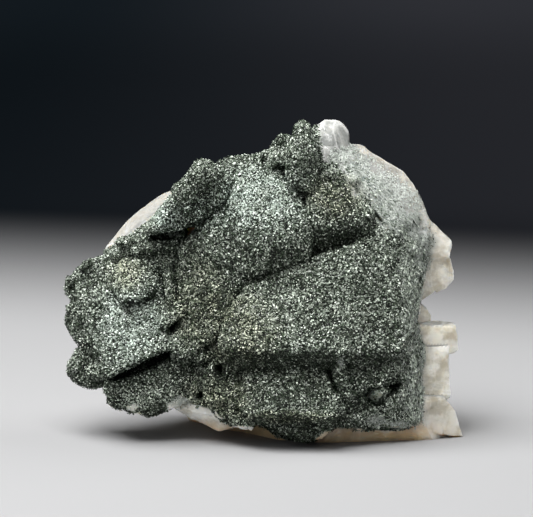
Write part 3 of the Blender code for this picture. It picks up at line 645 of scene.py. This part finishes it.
def clear_material(fissure_group):
    """Clear feldspar: half see-through, with white healed cracks and glassy chips."""
    material, tree, shader = new_material(
        "clear_feldspar", Transmission_Weight=0.35, IOR=1.53, Roughness=0.24,
        Subsurface_Weight=0.5, Subsurface_Scale=0.003, Subsurface_Radius=(1.0, 0.97, 0.92),
        Coat_Weight=0.25, Coat_Roughness=0.12)
    fissures = use_group(tree, fissure_group)
    veil = ramped(tree, object_noise(tree, 0.0026, 4.0), 0.42, 0.62)
    body = mixed_colour(tree, veil, (0.34, 0.352, 0.335), (0.50, 0.505, 0.475))
    cracked = mixed_colour(tree, calculated(tree, "MULTIPLY", fissures.outputs["Lines"], 0.7), body,
                           (0.74, 0.74, 0.71))
    # Painted highlight: raised edges are whitened.
    edged = mixed_colour(tree, attribute_value(tree, "edge"), cracked, (0.80, 0.80, 0.77))
    tree.links.new(edged, shader.inputs["Base Color"])
    bumped(tree, shader, fissures.outputs["Height"], 0.0003)
    return material


def ground_material(settings, tint_group):
    """The bed that the scales sit in: fine cells, mostly near black, each with its own shade, and darker
    still in hollows, slits and the hole as painted shade.
    """
    material, tree, shader = new_material("chlorite_ground", Specular_IOR_Level=0.3)
    grain = object_noise(tree, 0.0005, 2.0)
    place = node_of(tree, "ShaderNodeTexCoord")
    cells = node_of(tree, "ShaderNodeTexVoronoi", feature="F1", inputs={
        "Scale": 1.0 / GROUND_CELL, "Randomness": 1.0})
    channels = node_of(tree, "ShaderNodeSeparateColor")
    tree.links.new(place.outputs["Object"], cells.inputs["Vector"])
    tree.links.new(cells.outputs["Color"], channels.inputs["Color"])
    colour = mixed_colour(tree, ramped(tree, channels.outputs["Red"], 0.35, 0.90),
                          tuple(settings.ground_colour), (0.052, 0.064, 0.045))
    colour = mixed_colour(tree, ramped(tree, channels.outputs["Green"], 0.84, 0.90), colour,
                          (0.32, 0.36, 0.30))
    # Painted shade: darker still where deep is 1.
    colour = mixed_colour(tree, attribute_value(tree, "deep"), colour, tuple(settings.ground_colour))
    tinted = use_group(tree, tint_group, Color=colour, Cool=attribute_value(tree, "cool"),
                       Warm=attribute_value(tree, "warm"))
    tree.links.new(tinted.outputs["Color"], shader.inputs["Base Color"])
    tree.links.new(ramped(tree, grain, 0.4, 0.6, 0.45, 0.8), shader.inputs["Roughness"])
    bumped(tree, shader, cells.outputs["Distance"], -0.0005)
    return material


def scale_material(name, colour, other, tint_group, rough, shine):
    """Chlorite scales: each scale's own shade, from the attribute shade, between two colours."""
    material, tree, shader = new_material(name, IOR=1.6, Specular_IOR_Level=shine)
    shade = attribute_value(tree, "shade")
    own = mixed_colour(tree, shade, tuple(colour), other)
    tinted = use_group(tree, tint_group, Color=own, Cool=attribute_value(tree, "cool"),
                       Warm=attribute_value(tree, "warm"))
    tree.links.new(tinted.outputs["Color"], shader.inputs["Base Color"])
    tree.links.new(ramped(tree, shade, 0.0, 1.0, rough, rough + 0.25), shader.inputs["Roughness"])
    return material


def existing_group(name, make):
    return bpy.data.node_groups.get(name) or make()


# The skin

def warped(face_points, amount):
    """Pushes each point by a noise vector, so that straight creases wander as grown edges do."""
    push = np.stack([layered_noise(face_points, 6.5, 2, 40 + 10 * axis) for axis in range(3)], axis=1)
    return face_points + amount[:, None] * push


def scallops(face_points, size, seed):
    """Bowls of broken crystal that meet in sharp ridges: the squared distance, in cells of this
    size, to the nearest point of a jittered lattice, less its mean."""
    scaled = face_points / size
    base = np.floor(scaled)
    least = np.full(len(scaled), np.inf)
    for step in np.ndindex(3, 3, 3):
        cell = base + np.array(step) - 1.0
        jitter = np.stack([cell_values(cell, seed + axis) for axis in range(3)], axis=1)
        least = np.minimum(least, ((scaled - cell - 0.5 - 0.42 * jitter) ** 2).sum(axis=1))
    return least - 0.3


def terrace(face_points, direction, height, seed):
    """Steps of broken cleavage: the noise along a direction, rounded down to whole steps."""
    across = face_points @ np.array(direction) / 3.0
    field = across + 1.1 * layered_noise(face_points, 7.0, 2, seed)
    return height * (field - np.floor(field) - 0.5)


def ledge_mask(face_points):
    """1 on the broken ledges at the right, below the shoulder."""
    return (soft_step(face_points[:, 0], 33.0, 36.5) * soft_step(-face_points[:, 1], -45.0, -39.0)
            * soft_step(face_points[:, 2], -24.0, -18.0))


def edge_limit(points, settings):
    """Longest edge at world points: fine on the ledges, less so on the front, coarse behind."""
    face_points = to_face(points)
    behind = soft_step(-face_points[:, 2], 8.0, 14.0)
    limit = settings.front_edge + (settings.back_edge - settings.front_edge) * behind
    return limit + (settings.ledge_edge - limit) * ledge_mask(face_points)


def build_surface(settings):
    """The solid's refined mesh, moved by d along its normal and by the warp: on the crust
    d = relief * (noise of 2.4 mm and shorter), on bare feldspar d = scallops and terraces."""
    points, triangles = merged_triangles(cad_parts[SOLID])
    points, triangles = refined(points, triangles, lambda middles: edge_limit(middles, settings))
    surface = mesh_object(SURFACE, points, triangles, None)
    data = surface.data
    edges = read_vectors(data.edges, "vertices", 2, np.int32)
    flat_break = points[:, 2] < 0.06 * MM

    normals = vertex_normals(data)
    face_points = to_face(points)
    crust = crust_mask(face_points, normals @ OUT_OF_FACE)
    rounding = np.maximum(smooth_mask(face_points), 0.6 * patch_mask(face_points, CLEAR_TOP))
    rounding *= 1.0 - crust
    points = relaxed(points, edges, 0.10 + 0.30 * crust, 2)
    points = relaxed(points, edges, 0.5 * rounding, 9)
    face_points = to_face(points)
    face_normals = normals @ np.stack((RIGHT, UP_FACE, OUT_OF_FACE)).T

    moved = warped(face_points, settings.warp / MM * (0.35 + 0.65 * crust))
    lumps = layered_noise(face_points, 2.4, 3, 3) + 0.6 * smooth_noise(face_points, 6.0, 13)
    broken = (1.3 * scallops(face_points, np.array((4.5, 8.0, 6.0)), 60)
              + 0.25 * scallops(face_points, np.array((2.0, 3.6, 2.4)), 70)
              + terrace(face_points, (0.9, -0.3, 0.2), 0.14, 70))
    broken *= 0.12 + 0.88 * (1.0 - smooth_mask(face_points)) - 0.55 * patch_mask(face_points, CLEAR_TOP)
    rise = crust * settings.crust_relief / MM * lumps + (1.0 - crust) * broken
    moved += rise[:, None] * face_normals
    points = to_world(moved)
    points[:, 2] = np.where(flat_break, 0.0, np.maximum(points[:, 2], 0.0))
    data.vertices.foreach_set("co", points.astype(np.float32).ravel())
    data.update()
    store_regions(data, points, edges)
    return surface


def store_regions(data, points, edges):
    """Stores where each finish lies on the skin: crust, clouding, brown staining with painted bounce light,
    the darkened pocket crystal, edges for a painted highlight, hollows, undersides and deep places for
    painted shade, proud places for painted light, upward faces greyed as painted shade, and tints.
    """
    normals = vertex_normals(data)
    face_points = to_face(points)
    crust = crust_mask(face_points, normals @ OUT_OF_FACE)
    patchy = 0.75 + 0.35 * layered_noise(face_points, 5.0, 3, 90)
    rim = rim_mask(face_points)
    worn = patch_mask(face_points, WORN_PATCHES) * soft_step(face_points[:, 2], -2.0, 0.0)
    band = band_mask(face_points)
    clouding = np.maximum.reduce((
        shoulder_mask(face_points) * patchy * (1.0 - 0.7 * rim), worn, band))
    set_attribute(data, "crust", crust)
    set_attribute(data, "clouding", np.clip(clouding, 0.0, 1.0))
    # Brown near the floor, more on faces that look down: partly staining, partly a painted warm light bounced
    # from the floor.
    low = 1.0 - soft_step(points[:, 2] / MM + 0.8 * patchy, 1.5, 6.0)
    down = soft_step(-normals[:, 2], -0.2, 0.5)
    inner = 1.0 - 0.7 * soft_step(face_points[:, 0], 34.0, 40.0)
    set_attribute(data, "stain_and_bounce_glow", np.clip(low * inner * (0.5 + 0.6 * down), 0.0, 1.0))
    # The crystal in the pocket is darkened to dark grey.
    in_front = soft_step(face_points[:, 2], -2.0, 0.0)
    set_attribute(data, "pocket_darkening", patch_mask(face_points, POCKET_CRYSTAL) * in_front)
    # Where the skin stands proud of a lightly blurred copy: the edges that the feldspar whitens as a painted
    # highlight.
    blunt = relaxed(points, edges, np.full(len(points), 0.5), 3)
    proud = ((points - blunt) * normals).sum(axis=1) / MM
    set_attribute(data, "edge", soft_step(proud, 0.06, 0.22))
    # hollow: sunk below a blurred copy, where dark scales are drawn as painted shade; proud: standing above
    # it, where pale scales are drawn as painted light.
    blunt = relaxed(blunt, edges, np.full(len(points), 0.5), 16)
    sunk = ((blunt - points) * normals).sum(axis=1) / MM
    set_attribute(data, "hollow", soft_step(sunk, 0.05, 0.70))
    set_attribute(data, "proud", soft_step(-sunk, 0.05, 0.50))
    # under: faces that look down, where dark scales are drawn as painted shade.
    slopes = relaxed(normals, edges, np.full(len(points), 0.5), 14)
    mottled = layered_noise(face_points, 2.6, 2, 110)
    set_attribute(data, "under", soft_step(-slopes[:, 2] + 0.38 * mottled, -0.14, 0.78))
    # deep: the deepest hollows and the shade patches, where the crust's ground is darkened as painted shade.
    set_attribute(data, "deep", np.maximum(soft_step(sunk, 0.15, 0.9), patch_mask(face_points, SHADE_PATCHES)))
    tops = patch_mask(face_points, CLEAR_TOP)
    set_attribute(data, "tops", tops)
    # clear: the clear crystals at the top, and every upward face, which the feldspar greys as painted shade.
    set_attribute(data, "clear", np.maximum(tops, 0.9 * soft_step(normals[:, 2], 0.2, 0.8)))
    set_attribute(data, "cool", patch_mask(face_points, COOL_PATCHES))
    set_attribute(data, "warm", patch_mask(face_points, WARM_PATCHES))


def assign_materials(surface, materials):
    """Gives each face the ground of the crust where the mean crust of its corners passes half, and
    the clear feldspar in the same way where it is part of the crystals at the top."""
    data = surface.data
    data.materials.clear()
    for material in materials:
        data.materials.append(material)
    corners = read_vectors(data.loops, "vertex_index", 1, np.int32)
    starts = read_vectors(data.polygons, "loop_start", 1, np.int32)
    totals = read_vectors(data.polygons, "loop_total", 1, np.int32)
    covered = np.add.reduceat(read_attribute(data, "crust")[corners], starts) / totals
    at_top = np.add.reduceat(read_attribute(data, "tops")[corners], starts) / totals
    number = np.where(covered > 0.5, 1, np.where(at_top > 0.5, 2, 0))
    data.polygons.foreach_set("material_index", number.astype(np.int32))
    data.polygons.foreach_set("use_smooth", np.ones(len(starts), bool))
    data.set_sharp_from_angle(angle=SHARP_ANGLE)
    data.update()


# The scales

def quad_corners(data):
    """The corners of every face as four vertex numbers, a triangle's last one twice."""
    corners = read_vectors(data.loops, "vertex_index", 1, np.int32)
    starts = read_vectors(data.polygons, "loop_start", 1, np.int32)
    totals = read_vectors(data.polygons, "loop_total", 1, np.int32)
    steps = np.minimum(np.arange(4), totals[:, None] - 1)
    return corners[starts[:, None] + steps]


def scatter_spots(surface, count, favour, rng):
    """Random spots on the crust: a face is drawn with a chance of its area times favour, and the
    spot is a random mix of its corners. Gives points and normals."""
    data = surface.data
    quads = quad_corners(data)
    points = read_vectors(data.vertices, "co", 3).astype(float)
    normals = vertex_normals(data)
    areas = read_vectors(data.polygons, "area", 1).astype(float)
    weight = areas * favour[quads].mean(axis=1)
    chosen = np.searchsorted(np.cumsum(weight) / weight.sum(), rng.random(count))
    across, along = rng.random((2, count, 1))
    shares = np.stack((
        (1 - across) * (1 - along), across * (1 - along), across * along, (1 - across) * along), axis=1)
    spots = (points[quads[chosen]] * shares).sum(axis=1)
    out = (normals[quads[chosen]] * shares).sum(axis=1)
    return spots, out / np.linalg.norm(out, axis=1, keepdims=True)


def unit_rows(vectors):
    return vectors / np.linalg.norm(vectors, axis=-1, keepdims=True)


def scale_plates(spots, normals, width, scatter, combed, rng):
    """One flattened tetrahedron for each spot: its upper edge along one direction and its lower
    edge across it, in a plane tilted by scatter; where combed is 1 the long side runs down the
    streaks of the face, and it is longer."""
    count = len(spots)
    axis = unit_rows(normals + scatter * unit_rows(rng.normal(size=(count, 3))))
    across = unit_rows(rng.normal(size=(count, 3))) + 2.5 * combed
    one_way = unit_rows(np.cross(axis, across))
    other_way = np.cross(axis, one_way)
    size = width / 2 * np.exp(rng.normal(0.0, 0.28, (count, 1)))
    longer = rng.uniform(0.9, 1.7, (count, 1)) * (1.0 + 0.5 * np.linalg.norm(combed, axis=1, keepdims=True))
    thick = axis * size * rng.uniform(0.10, 0.35, (count, 1))
    side, end = other_way * size, one_way * size * longer
    bend = one_way * size * rng.uniform(-0.5, 0.5, (count, 1))
    vertices = np.stack(
        (spots + end + thick, spots + side + bend - thick, spots - end + thick,
         spots - side + bend - thick), axis=1)
    faces = np.array(((0, 1, 2), (0, 2, 3), (0, 3, 1), (2, 1, 3)))
    all_faces = (np.arange(count)[:, None, None] * 4 + faces).reshape(-1, 3)
    return vertices.reshape(-1, 3), all_faces


def clump_height(face_points):
    """Height in millimetres of the clumps that the scales build: two sizes of noise."""
    return 0.17 * layered_noise(face_points, 2.3, 2, 17) + 0.09 * smooth_noise(face_points, 0.9, 27)


def clumped(face_points, face_normals):
    """The points raised by the clumps, and the normals less the clumps' slope in the surface; the
    slope along each axis is the change of height over a short step."""
    step = 0.1
    height = clump_height(face_points)
    slope = np.stack(
        [clump_height(face_points + step * axis) - height for axis in np.eye(3)], axis=1) / step
    slope -= (slope * face_normals).sum(axis=1, keepdims=True) * face_normals
    return face_points + height[:, None] * face_normals, unit_rows(face_normals - 1.4 * slope)


def streak_direction(face_points):
    """World vectors square to the streaks: level on the torn band, so that its fibres stand
    upright, and rising to the right on the shoulder; short where there are no streaks."""
    band = band_mask(face_points)[:, None] * RIGHT
    shoulder = shoulder_mask(face_points)[:, None] * (RIGHT + UP_FACE) / math.sqrt(2.0)
    return band + 0.8 * shoulder


def make_scales(name, surface, count, favour, width, scatter, lift, material, seed):
    """A piece with this many scales, each with its own shade and the tint of its region; lift is
    how far they may stand off the skin, in widths."""
    rng = np.random.default_rng(seed)
    spots, normals = scatter_spots(surface, count, favour, rng)
    lift = width * rng.uniform(-0.3, lift, (count, 1))
    face_points = to_face(spots)
    axes = np.stack((RIGHT, UP_FACE, OUT_OF_FACE))
    raised, turned = clumped(face_points, normals @ axes.T)
    vertices, faces = scale_plates(
        to_world(raised) + normals * lift, turned @ axes, width, scatter,
        streak_direction(face_points), rng)
    vertices[:, 2] = np.maximum(vertices[:, 2], 0.0)
    piece = mesh_object(name, vertices, faces, material)
    piece.data.shade_flat()
    shade = rng.random(count)
    shade += (1.0 - shade) * 0.8 * rim_mask(face_points)
    set_attribute(piece.data, "shade", np.repeat(shade, 4))
    set_attribute(piece.data, "cool", np.repeat(patch_mask(face_points, COOL_PATCHES), 4))
    set_attribute(piece.data, "warm", np.repeat(patch_mask(face_points, WARM_PATCHES), 4))
    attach(piece, "root")
    return piece


# The studio

def sweep_sheet(material):
    """A sheet on the floor that turns up far behind: the point at (x, s) lies at height 0 up to
    the bend, then on a quarter circle, then straight up."""
    half_width, front, bend, radius, top = 4.0, -4.0, 3.0, 1.0, 2.0
    x = np.linspace(-half_width, half_width, 5)
    angle = np.linspace(0.0, math.pi / 2, 13)
    y = np.concatenate(([front, 0.0, bend], bend + radius * np.sin(angle[1:]), [bend + radius]))
    z = np.concatenate(([0.0, 0.0, 0.0], radius * (1 - np.cos(angle[1:])), [radius + top]))
    grid_x, grid_y = np.meshgrid(x, y)
    vertices = np.stack((grid_x.ravel(), grid_y.ravel(), np.repeat(z, len(x))), axis=1)
    number = np.arange(len(vertices)).reshape(len(y), len(x))
    faces = np.stack((number[:-1, :-1], number[:-1, 1:], number[1:, 1:], number[1:, :-1]), axis=-1)
    return mesh_object("studio_sheet", vertices, faces.reshape(-1, 4), material)


def sheet_material(settings):
    """Pale grey that runs into charcoal behind the object, a painted falloff of light that comes sooner at
    the right, and a faint painted glow far behind that is brighter at the right.
    """
    material, tree, shader = new_material("studio_sheet", Roughness=0.8, Specular_IOR_Level=0.0)
    place = node_of(tree, "ShaderNodeTexCoord")
    parts = node_of(tree, "ShaderNodeSeparateXYZ")
    tree.links.new(place.outputs["Object"], parts.inputs["Vector"])
    # Painted light falloff: the floor turns to charcoal further back, and sooner towards the right.
    slanted = calculated(tree, "ADD", parts.outputs["Y"],
                         calculated(tree, "MULTIPLY", parts.outputs["X"], 0.3))
    back = ramped(tree, slanted, 0.115, 0.385)
    colour = mixed_colour(
        tree, back, tuple(settings.floor_colour), tuple(settings.backdrop_colour))
    tree.links.new(colour, shader.inputs["Base Color"])
    # Painted glow: the sheet far behind gives off a faint light of its own, brighter at the right.
    to_the_right = ramped(tree, parts.outputs["X"], -0.15, 0.15, 0.0, 1.0)
    glow = mixed_colour(tree, to_the_right, (0.0044, 0.0066, 0.0087), (0.0180, 0.0189, 0.0227))
    tree.links.new(glow, shader.inputs["Emission Color"])
    strength = calculated(tree, "ADD", ramped(tree, parts.outputs["Y"], 0.10, 0.45),
                          ramped(tree, parts.outputs["Y"], 0.9, 1.7, 0.0, 0.5))
    tree.links.new(strength, shader.inputs["Emission Strength"])
    return material


def area_light(name, place, aim, size, power, colour=(1.0, 1.0, 1.0)):
    """A soft square light at a place in metres, turned to look at the aim."""
    data = bpy.data.lights.new(name, "AREA")
    data.shape = "RECTANGLE"
    data.size, data.size_y = size
    data.energy = power
    data.color = colour
    made = bpy.data.objects.new(name, data)
    made.location = place
    made.rotation_euler = (Vector(aim) - Vector(place)).to_track_quat("-Z", "Y").to_euler()
    bpy.context.scene.collection.objects.link(made)
    return made


def photo_camera():
    """The camera square to the growth face, as far off and as wide as the photograph's view."""
    data = bpy.data.cameras.new("camera")
    data.sensor_width = SENSOR_WIDTH
    data.lens = SENSOR_WIDTH * CAMERA_DISTANCE / VIEW_WIDTH
    data.clip_start, data.clip_end = 0.01, 20.0
    made = bpy.data.objects.new("camera", data)
    place = to_world(np.array((CAMERA_AIM[0], CAMERA_AIM[1], CAMERA_DISTANCE)))
    turn = Matrix((RIGHT, UP_FACE, OUT_OF_FACE)).transposed().to_4x4()
    made.matrix_world = Matrix.Translation(place) @ turn
    bpy.context.scene.collection.objects.link(made)
    return made


class ORTHOCLASE_OT_surface(bpy.types.Operator):
    """Build the skin of the crystal group: broken feldspar and the bed of the crust."""

    bl_idname = "orthoclase.surface"
    bl_label = "Build the skin"

    def execute(self, context):
        settings = context.scene.orthoclase_surface
        surface = build_surface(settings)
        tint = existing_group("region_tint", region_tint_group)
        lines = existing_group("cleavage", cleavage_group)
        fissures = existing_group("cracks", crack_group)
        assign_materials(
            surface, (feldspar_material(settings, lines, fissures), ground_material(settings, tint),
                      clear_material(fissures)))
        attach(surface, "root")
        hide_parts(SOLID)
        return {"FINISHED"}


class ORTHOCLASE_OT_scales(bpy.types.Operator):
    """Scatter the chlorite scales over the crust: dark, grey-green and pale ones."""

    bl_idname = "orthoclase.scales"
    bl_label = "Scatter the scales"

    def execute(self, context):
        settings = context.scene.orthoclase_scales
        surface = bpy.data.objects[SURFACE]
        crust = read_attribute(surface.data, "crust").astype(float)
        points = to_face(read_vectors(surface.data.vertices, "co", 3).astype(float))
        # pale: the pale and painted light patches and the torn band; dark: the painted shade patches.
        pale = np.maximum(patch_mask(points, PALE_AND_PAINTED_LIGHT_PATCHES), 0.9 * band_mask(points))
        dark = patch_mask(points, PAINTED_SHADE_PATCHES)
        outside = np.maximum(-inside_distance(points[:, :2], CRUST_OUTLINE), 0.0)
        shoulder = shoulder_mask(points)
        dusting = 0.35 * shoulder * np.exp(-outside / 3.0)
        clumps = soft_step(layered_noise(points, 2.2, 2, 17), -0.7, 0.7)
        worn = patch_mask(points, WORN_PATCHES) * soft_step(points[:, 2], -2.0, 0.0)
        past = inside_distance(points[:, :2], SHOULDER_OUTLINE)
        whole = soft_step(past, -3.0, -1.0) * soft_step(points[:, 2], -13.0, -9.0) * (crust < 0.5)
        whole *= soft_step(-points[:, 0], -38.0, -36.5)
        frost = np.maximum.reduce((0.8 * shoulder, 0.7 * whole, 0.8 * band_mask(points), 0.5 * worn))
        frost *= 1.0 - 0.35 * rim_mask(points)
        normals = vertex_normals(surface.data)
        # Painted shade: the shade patches, hollows and undersides, where dark scales are drawn and grey, green
        # and pale ones thinned.
        deep = patch_mask(points, SHADE_PATCHES)
        shaded = np.maximum.reduce((
            read_attribute(surface.data, "hollow"), 0.8 * read_attribute(surface.data, "under"), deep))
        # Painted light: raised places and upward faces, where pale scales are drawn.
        lit = 0.5 * read_attribute(surface.data, "proud") + 0.5 * soft_step(normals[:, 2], 0.15, 0.60)
        cover = np.maximum(soft_step(crust, 0.05, 0.75), dusting) + 0.015 * (crust > 0.02)
        tint = existing_group("region_tint", region_tint_group)
        width = settings.width
        # Dark scales also gather in the painted shade patches and pale ones in the painted light patches;
        # green ones thin out in the shade patches.
        kinds = (
            ("chlorite_scales_dark", settings.dark_count,
             cover * (1.35 - 0.7 * clumps - 0.6 * pale + 0.8 * dark + 1.4 * shaded), 0.7, 1.2,
             settings.dark_colour, (0.010, 0.016, 0.009), 0.45, 0.12),
            ("chlorite_scales_green", settings.green_count, cover * (1.0 - 0.5 * deep), 0.7, 1.0,
             settings.green_colour, (0.054, 0.082, 0.046), 0.35, 0.3),
            ("chlorite_scales_grey", settings.grey_count, cover * (1.0 - 0.75 * shaded), 0.7, 1.0,
             settings.grey_colour, (0.20, 0.24, 0.185), 0.22, 0.8),
            ("chlorite_scales_pale", settings.pale_count,
             cover * (0.5 + 0.9 * clumps + 2.1 * pale + 0.7 * lit) * (1.0 - 0.5 * dark)
             * (1.0 - 0.85 * shaded), 0.7, 1.0,
             settings.pale_colour, (0.75, 0.83, 0.71), 0.18, 0.8),
            ("frost_fibres", settings.frost_count, frost, 0.35, 0.4, (0.17, 0.20, 0.165),
             (0.52, 0.55, 0.51), 0.3, 0.4),
        )
        for seed, kind in enumerate(kinds, 5):
            name, count, favour, scatter, lift, colour, other, rough, shine = kind
            material = scale_material(name, colour, other, tint, rough, shine)
            make_scales(name, surface, count, favour, width, scatter, lift, material, seed)
        return {"FINISHED"}


class ORTHOCLASE_OT_studio(bpy.types.Operator):
    """Set the pale floor, the charcoal backdrop, the softbox, the fill light and the camera."""

    bl_idname = "orthoclase.studio"
    bl_label = "Set the studio"

    def execute(self, context):
        settings = context.scene.orthoclase_studio
        sweep_sheet(sheet_material(settings))
        middle = (0.0, 0.0, 0.03)
        area_light("softbox", (-0.16, -0.09, 0.52), middle, (0.60, 0.42), settings.key_power)
        area_light("fill", (-0.30, -0.75, 0.35), middle, (0.6, 0.6), settings.fill_power)
        area_light("side", (0.42, 0.14, 0.36), middle, (0.4, 0.4), settings.side_power)
        world = bpy.data.worlds.new("studio")
        world.use_nodes = True
        backdrop = world.node_tree.nodes["Background"]
        backdrop.inputs["Color"].default_value = (0.20, 0.205, 0.215, 1.0)
        backdrop.inputs["Strength"].default_value = 0.12
        context.scene.world = world
        context.scene.view_settings.view_transform = "Standard"
        context.scene.camera = photo_camera()
        return {"FINISHED"}


class ORTHOCLASE_PT_panel(bpy.types.Panel):
    """The operators, in the order in which they are run."""

    bl_idname = "ORTHOCLASE_PT_panel"
    bl_label = "Orthoclase"
    bl_space_type = "VIEW_3D"
    bl_region_type = "UI"
    bl_category = "Orthoclase"

    def draw(self, context):
        for operator in OPERATORS:
            self.layout.operator(operator.bl_idname)


SETTINGS = {
    "orthoclase_surface": OrthoclaseSurfaceSettings,
    "orthoclase_scales": OrthoclaseScaleSettings,
    "orthoclase_studio": OrthoclaseStudioSettings,
}
OPERATORS = (ORTHOCLASE_OT_surface, ORTHOCLASE_OT_scales, ORTHOCLASE_OT_studio)


def register():
    for name, settings in SETTINGS.items():
        bpy.utils.register_class(settings)
        setattr(bpy.types.Scene, name, bpy.props.PointerProperty(type=settings))
    for operator in OPERATORS:
        bpy.utils.register_class(operator)
    bpy.utils.register_class(ORTHOCLASE_PT_panel)


def unregister():
    bpy.utils.unregister_class(ORTHOCLASE_PT_panel)
    for operator in reversed(OPERATORS):
        bpy.utils.unregister_class(operator)
    for name, settings in SETTINGS.items():
        delattr(bpy.types.Scene, name)
        bpy.utils.unregister_class(settings)


def main():
    register()
    bpy.ops.orthoclase.studio()
    bpy.ops.orthoclase.surface()
    bpy.ops.orthoclase.scales()


if __name__ == "__main__":
    main()
